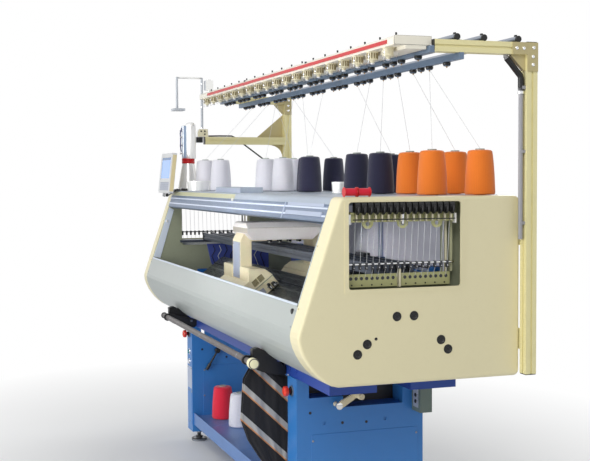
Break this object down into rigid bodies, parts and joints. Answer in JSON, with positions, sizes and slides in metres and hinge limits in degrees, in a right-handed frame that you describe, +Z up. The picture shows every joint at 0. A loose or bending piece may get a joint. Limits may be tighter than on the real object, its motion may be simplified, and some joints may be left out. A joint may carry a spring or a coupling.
{
  "type": "flat knitting machine",
  "caption": "Computerised flat knitting machine with a sliding carriage over two sloping needle beds, covered ends with yarn windows, a screen panel and an overhead yarn stand.",
  "frame": {"origin": "on the floor under the middle of the footprint, which the yarn stand sets along the machine and the stand and the hanging cloth set across it", "axes": "+X along the machine to the end with the wide window view, +Y from the operator to the back, +Z up"},
  "size_m": [2.913, 0.9686, 2.086],
  "materials": {
    "blue_paint": "satin",
    "deep_blue_paint": "satin",
    "tray_sheet": "satin",
    "black_steel": "satin",
    "olive_paint": "satin",
    "bed_steel": "ground",
    "rail_steel": "ground",
    "dark_rail": "anodised",
    "feeder_white": "moulded",
    "feeder_dark": "moulded",
    "cream_paint": "semi gloss",
    "hood_white": "semi gloss",
    "cam_cover_paint": "semi gloss",
    "roller_rubber": "matt",
    "bracket_steel": "satin",
    "motor_grey": "satin",
    "pulley_alu": "turned",
    "belt_rubber": "matt",
    "cover_cream": "semi gloss",
    "cover_silver": "metallic satin",
    "rear_cream": "satin",
    "table_grey": "satin",
    "track_blue": "anodised",
    "plate_green": "satin",
    "black_plastic": "moulded",
    "bright_chrome": "polished",
    "post_alu": "anodised",
    "plate_cream": "satin",
    "slate_rail": "anodised",
    "tube_alu": "satin",
    "bar_cream": "satin",
    "strip_red": "gloss",
    "unit_cream": "moulded",
    "white_enamel": "gloss",
    "conduit_grey": "matt",
    "panel_plastic": "moulded",
    "estop_red": "gloss",
    "bar_steel": "satin",
    "knob_beige": "satin",
    "yarn_orange": "wound yarn",
    "yarn_navy": "wound yarn",
    "yarn_white": "wound yarn",
    "yarn_red": "wound yarn",
    "ware_white": "satin",
    "knit_black": "knitted",
    "yarn_thin": "spun"
  },
  "bodies": {
    "machine": {"legs": "blue_paint", "base_tray": "tray_sheet", "leveling_feet": "black_steel", "main_beam": "deep_blue_paint", "end_frames": "olive_paint", "front_needle_bed": "bed_steel", "carriage_rails": "rail_steel", "feeder_rails": "dark_rail", "takedown_brackets": "bracket_steel", "drive_motor": "motor_grey", "drive_belt": "belt_rubber", "end_cover_left": "cover_cream", "end_cover_right": "cover_cream", "front_cover": "cover_silver", "rear_cover": "rear_cream", "top_table": "table_grey", "door_tracks": "track_blue", "tension_plates": "plate_green", "tension_units": "black_plastic", "clip_rails": "bright_chrome", "stand_posts": "post_alu", "stand_beams": "post_alu", "corner_plates": "plate_cream", "eyelet_rails": "slate_rail", "guide_tubes": "tube_alu", "unit_bar": "bar_cream", "unit_strip": "strip_red", "yarn_units": "unit_cream", "lamp_frame": "white_enamel", "conduit": "conduit_grey", "panel_bracket": "black_steel", "start_bar_brackets": "black_steel", "cones_orange": "yarn_orange", "cones_navy": "yarn_navy", "cones_white": "yarn_white", "red_yarn": "yarn_red", "table_ware": "ware_white", "fabric_panel": "knit_black", "yarns": "yarn_thin"},
    "carriage": {"carriage_bridge": "cream_paint", "carriage_hood": "hood_white", "cam_boxes": "cream_paint", "cam_covers": "cam_cover_paint"},
    "feeder_1": {"feeder_1": "feeder_white"},
    "feeder_2": {"feeder_2": "feeder_dark"},
    "feeder_3": {"feeder_3": "feeder_white"},
    "feeder_4": {"feeder_4": "feeder_dark"},
    "rear_bed": {"rear_needle_bed": "bed_steel"},
    "takedown": {"takedown_roller": "roller_rubber"},
    "pressure": {"pressure_roller": "roller_rubber"},
    "drive_wheel": {"drive_pulley": "pulley_alu"},
    "idle_wheel": {"idle_pulley": "pulley_alu"},
    "panel": {"control_panel": "panel_plastic"},
    "stop_left": {"estop_left": "estop_red"},
    "stop_right": {"estop_right": "estop_red"},
    "key_upper": {"button_upper": "bright_chrome"},
    "key_lower": {"button_lower": "bright_chrome"},
    "start_rod": {"start_bar": "bar_steel"},
    "crank": {"hand_crank": "knob_beige"},
    "lever": {"side_lever": "bar_steel"}
  },
  "joints": [
    {"name": "carriage_slide", "type": "slide", "parent": "machine", "child": "carriage", "axis": [1, 0, 0], "range_m": [-0.94, 1.14]},
    {"name": "feeder_1_slide", "type": "slide", "parent": "machine", "child": "feeder_1", "axis": [1, 0, 0], "range_m": [-1.926, 0.526]},
    {"name": "feeder_2_slide", "type": "slide", "parent": "machine", "child": "feeder_2", "axis": [1, 0, 0], "range_m": [-0.586, 1.866]},
    {"name": "feeder_3_slide", "type": "slide", "parent": "machine", "child": "feeder_3", "axis": [1, 0, 0], "range_m": [-1.846, 0.606]},
    {"name": "feeder_4_slide", "type": "slide", "parent": "machine", "child": "feeder_4", "axis": [1, 0, 0], "range_m": [-2.038, 0.414]},
    {"name": "bed_racking", "type": "slide", "parent": "machine", "child": "rear_bed", "axis": [1, 0, 0], "range_m": [-0.025, 0.025]},
    {"name": "takedown_spin", "type": "hinge", "parent": "machine", "child": "takedown", "pos_m": [0, -0.06075, 0.82], "axis": [1, 0, 0], "continuous": true},
    {"name": "pressure_spin", "type": "hinge", "parent": "machine", "child": "pressure", "pos_m": [0, -0.01375, 0.82], "axis": [1, 0, 0], "continuous": true},
    {"name": "drive_spin", "type": "hinge", "parent": "machine", "child": "drive_wheel", "pos_m": [1.216, 0.23675, 0.85993], "axis": [0, 1, 0], "range_deg": [-1450, 1720]},
    {"name": "idle_spin", "type": "hinge", "parent": "machine", "child": "idle_wheel", "pos_m": [-1.216, 0.23675, 0.85993], "axis": [0, 1, 0], "range_deg": [-1450, 1720]},
    {"name": "panel_tilt", "type": "hinge", "parent": "machine", "child": "panel", "pos_m": [-1.245, -0.35525, 1.376], "axis": [1, 0, 0], "range_deg": [-8, 20]},
    {"name": "stop_left_press", "type": "slide", "parent": "machine", "child": "stop_left", "axis": [0, 1, 0], "range_m": [0, 0.005], "stiffness_N_per_m": 900, "springref_m": -0.003},
    {"name": "stop_right_press", "type": "slide", "parent": "machine", "child": "stop_right", "axis": [0, 1, 0], "range_m": [0, 0.005], "stiffness_N_per_m": 900, "springref_m": -0.003},
    {"name": "key_upper_press", "type": "slide", "parent": "machine", "child": "key_upper", "axis": [0, 1, 0], "range_m": [0, 0.003], "stiffness_N_per_m": 700, "springref_m": -0.002},
    {"name": "key_lower_press", "type": "slide", "parent": "machine", "child": "key_lower", "axis": [0, 1, 0], "range_m": [0, 0.003], "stiffness_N_per_m": 700, "springref_m": -0.002},
    {"name": "start_turn", "type": "hinge", "parent": "machine", "child": "start_rod", "pos_m": [0, -0.45925, 0.72], "axis": [1, 0, 0], "range_deg": [-30, 30]},
    {"name": "crank_turn", "type": "hinge", "parent": "machine", "child": "crank", "pos_m": [0, -0.13725, 0.55], "axis": [1, 0, 0], "continuous": true},
    {"name": "lever_turn", "type": "hinge", "parent": "machine", "child": "lever", "pos_m": [0, -0.16225, 0.511], "axis": [1, 0, 0], "range_deg": [-30, 30]}
  ],
  "couplings": [
    {"joint": "pressure_spin", "follows": "takedown_spin", "ratio": -1},
    {"joint": "drive_spin", "follows": "carriage_slide", "rad_per_m": 25.317},
    {"joint": "idle_spin", "follows": "carriage_slide", "rad_per_m": 25.317}
  ]
}
